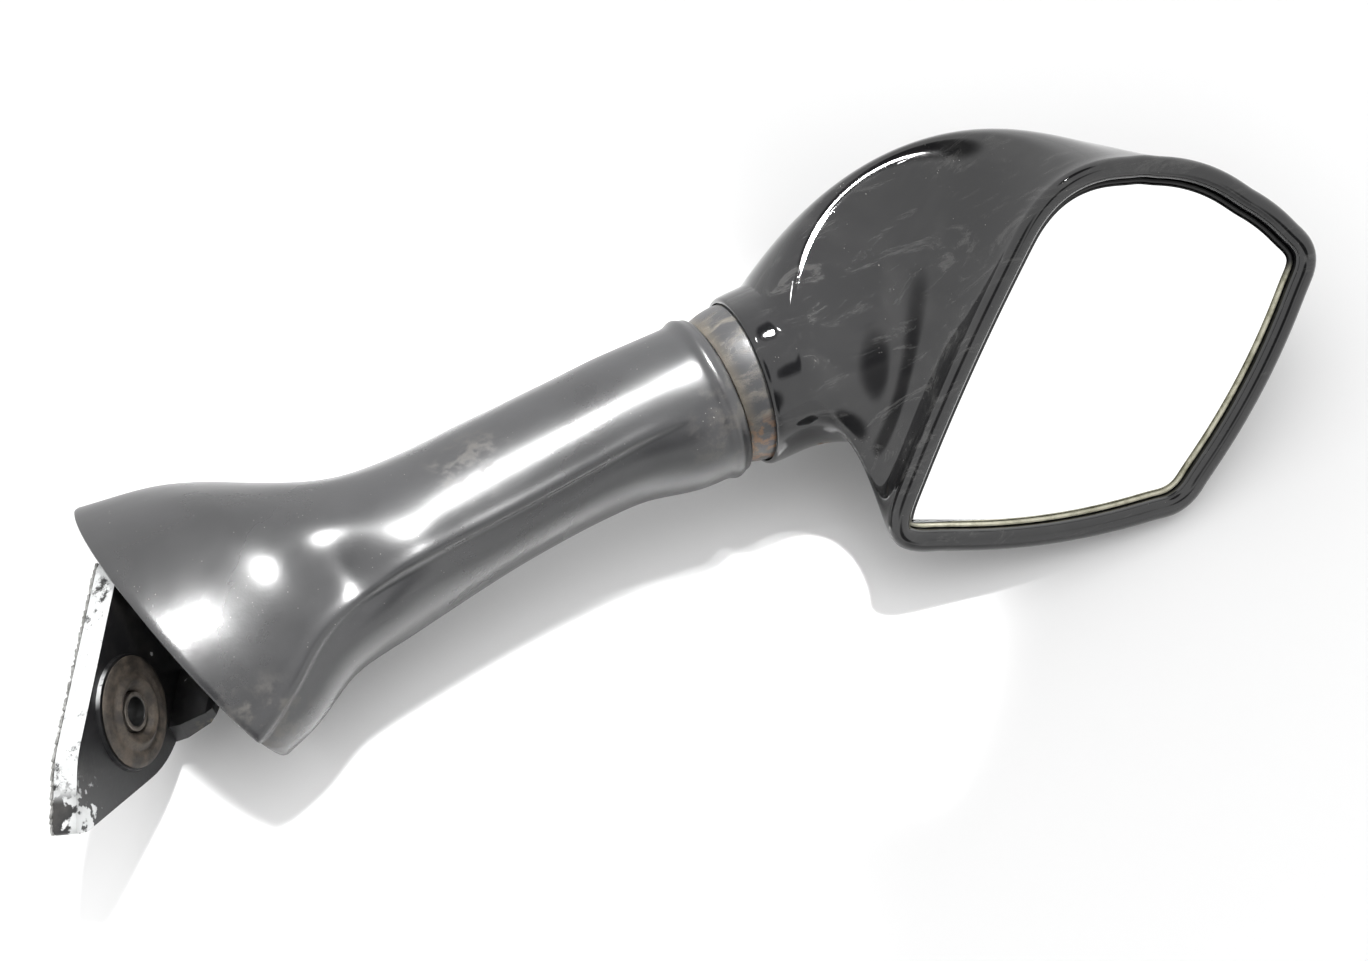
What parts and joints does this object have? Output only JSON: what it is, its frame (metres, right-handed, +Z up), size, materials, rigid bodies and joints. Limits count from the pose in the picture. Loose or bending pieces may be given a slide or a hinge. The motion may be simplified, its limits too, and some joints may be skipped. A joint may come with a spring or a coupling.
{
  "type": "side mirror",
  "caption": "Motorcycle fairing mirror with a cast foot, a folding stay in a moulded rubber boot and a gloss black head on a ball joint.",
  "frame": {"origin": "centre of the foot's bolt hole on its mounting face", "axes": "+X along the stay from foot to head; +Z up from the surface the mirror lies on; the glass faces -Y and +Z"},
  "size_m": [0.4062, 0.14, 0.0829],
  "materials": {
    "foot_casting": "worn satin black paint on cast aluminium",
    "gasket": "matt grey",
    "grommet": "aged matt",
    "zinc_steel": "dull zinc plate",
    "spring_steel": "oiled",
    "stay_casting": "satin",
    "boot_rubber": "satin, dusty",
    "satin_plastic": "satin, dirty",
    "nylon": "matt",
    "socket_alloy": "cast",
    "gloss_shell": "gloss black, fine dust",
    "mirror_glass": "polished",
    "cream_seal": "matt"
  },
  "bodies": {
    "foot": {"foot_bracket": "foot_casting", "foot_gasket": "gasket", "foot_grommet": "grommet", "foot_collar": "zinc_steel", "fold_bolt": "zinc_steel", "fold_washer_upper": "zinc_steel", "fold_spring": "spring_steel", "fold_nut": "zinc_steel"},
    "stay": {"stay_arm": "stay_casting", "rubber_boot": "boot_rubber", "collar_ring": "satin_plastic", "ball_stud": "zinc_steel"},
    "swivel": {"pivot_ring": "nylon"},
    "head": {"socket_cup": "socket_alloy", "clamp_plate": "zinc_steel", "mount_ring": "nylon", "clamp_screw_1": "zinc_steel", "clamp_screw_2": "zinc_steel", "clamp_screw_3": "zinc_steel", "head_housing": "gloss_shell", "mirror_glass": "mirror_glass", "carrier_plate": "nylon", "glass_seal": "cream_seal"}
  },
  "joints": [
    {"name": "fold", "type": "hinge", "parent": "foot", "child": "stay", "pos_m": [0.0399, 0.02, 0], "axis": [0, 0, 1], "range_deg": [-35, 0]},
    {"name": "head_swivel", "type": "hinge", "parent": "stay", "child": "swivel", "pos_m": [0.2085, 0.0094, 0.0063], "axis": [0, 0, 1], "range_deg": [-12, 12]},
    {"name": "head_tilt", "type": "hinge", "parent": "swivel", "child": "head", "pos_m": [0.2085, 0.0094, 0.0063], "axis": [1, 0, 0], "range_deg": [-25, 0]}
  ]
}
